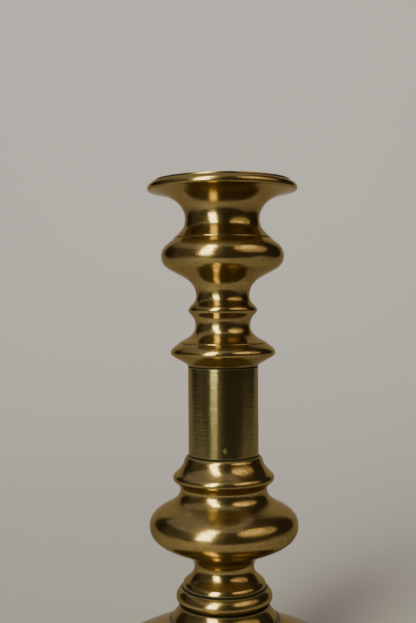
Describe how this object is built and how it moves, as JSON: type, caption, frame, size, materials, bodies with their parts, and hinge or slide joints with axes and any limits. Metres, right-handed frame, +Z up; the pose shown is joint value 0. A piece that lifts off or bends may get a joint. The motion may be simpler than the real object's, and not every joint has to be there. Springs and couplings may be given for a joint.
{
  "type": "candlestick",
  "caption": "Turned brass candlestick with a rolled rim, knopped stem, plain column and domed round foot, and a lift-out candle nozzle.",
  "frame": {"origin": "centre of the circle that the foot stands on, at table level", "axes": "+Z up along the candlestick's turning axis; +X to the right and +Y away in the front view"},
  "size_m": [0.116, 0.116, 0.1898],
  "materials": {
    "cast_brass": "polished cast brass with a soft satin patina",
    "tube_brass": "satin drawn brass",
    "steel": "dull zinc-plated steel"
  },
  "bodies": {
    "stick": {"candle_cup": "cast_brass", "column_tube": "tube_brass", "lower_knop": "cast_brass", "bead_ring": "cast_brass", "collar": "cast_brass", "domed_foot": "cast_brass", "tie_rod": "steel", "base_washer": "steel", "lock_washer": "steel", "hex_nut": "steel"},
    "nozzle": {"candle_nozzle": "tube_brass"}
  },
  "joints": [
    {"name": "nozzle_lift", "type": "slide", "parent": "stick", "child": "nozzle", "axis": [0, 0, 1], "range_m": [0, 0.035]}
  ]
}
